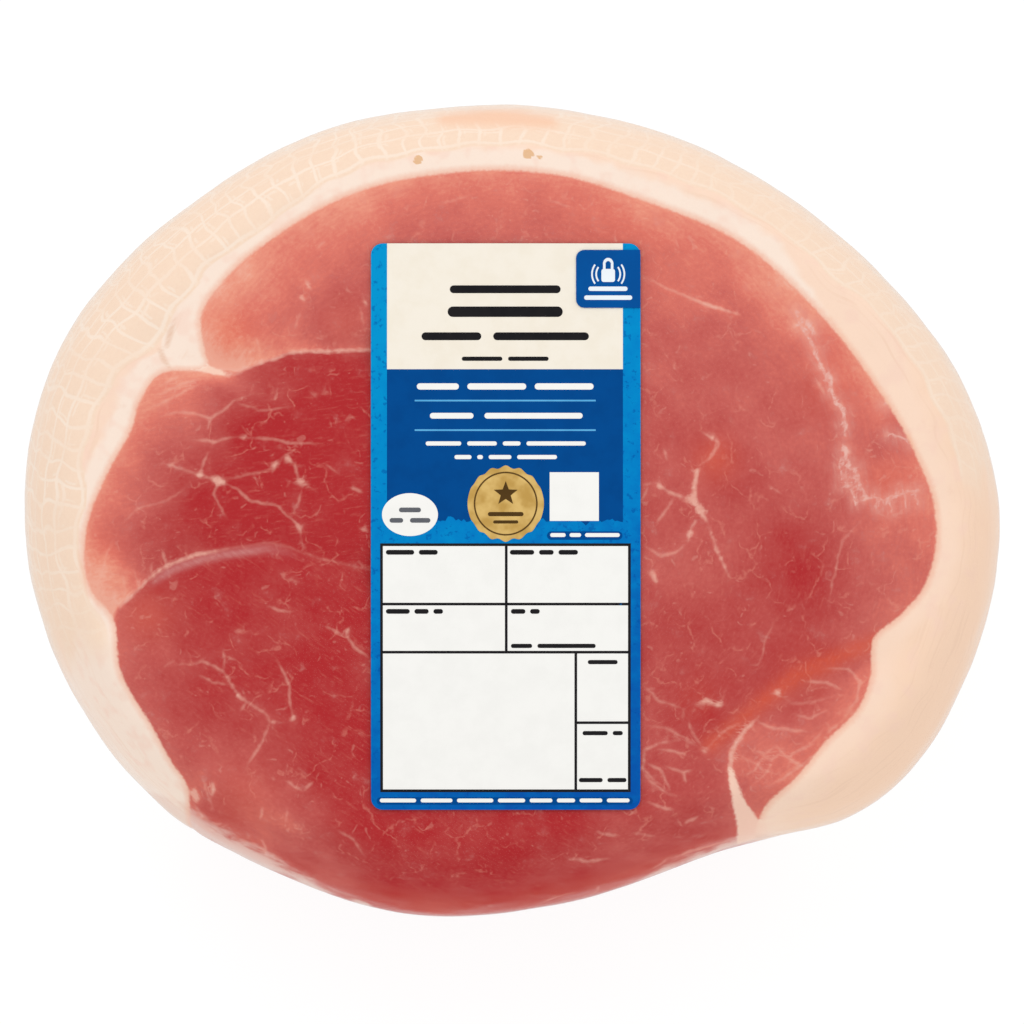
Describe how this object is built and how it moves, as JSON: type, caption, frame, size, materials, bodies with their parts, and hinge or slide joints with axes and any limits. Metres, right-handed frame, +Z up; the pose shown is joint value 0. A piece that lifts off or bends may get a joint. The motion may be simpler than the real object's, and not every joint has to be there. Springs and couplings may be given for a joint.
{
  "type": "gammon joint pack",
  "caption": "Boneless rind-on gammon joint in skin-tight clear film, lying on its back cut face, with a paper label and a small sticker on the front cut face.",
  "frame": {"origin": "on the surface the joint rests on, under the middle of its box", "axes": "+Z up out of the front cut face with the label, +Y towards the crown of the rind, +X along the joint's long side, to the right of the label as it is read"},
  "size_m": [0.1901, 0.1586, 0.0806],
  "materials": {
    "lean": "moist cured lean under clear film",
    "rind_and_fat": "firm pale fat and rind under clear film",
    "label": "coated label paper, printed in blue, cream and gold",
    "security_sticker": "coated sticker, printed dark blue"
  },
  "bodies": {
    "root": {"lean": "lean", "rind_and_fat": "rind_and_fat", "label": "label", "security_sticker": "security_sticker"}
  },
  "joints": []
}
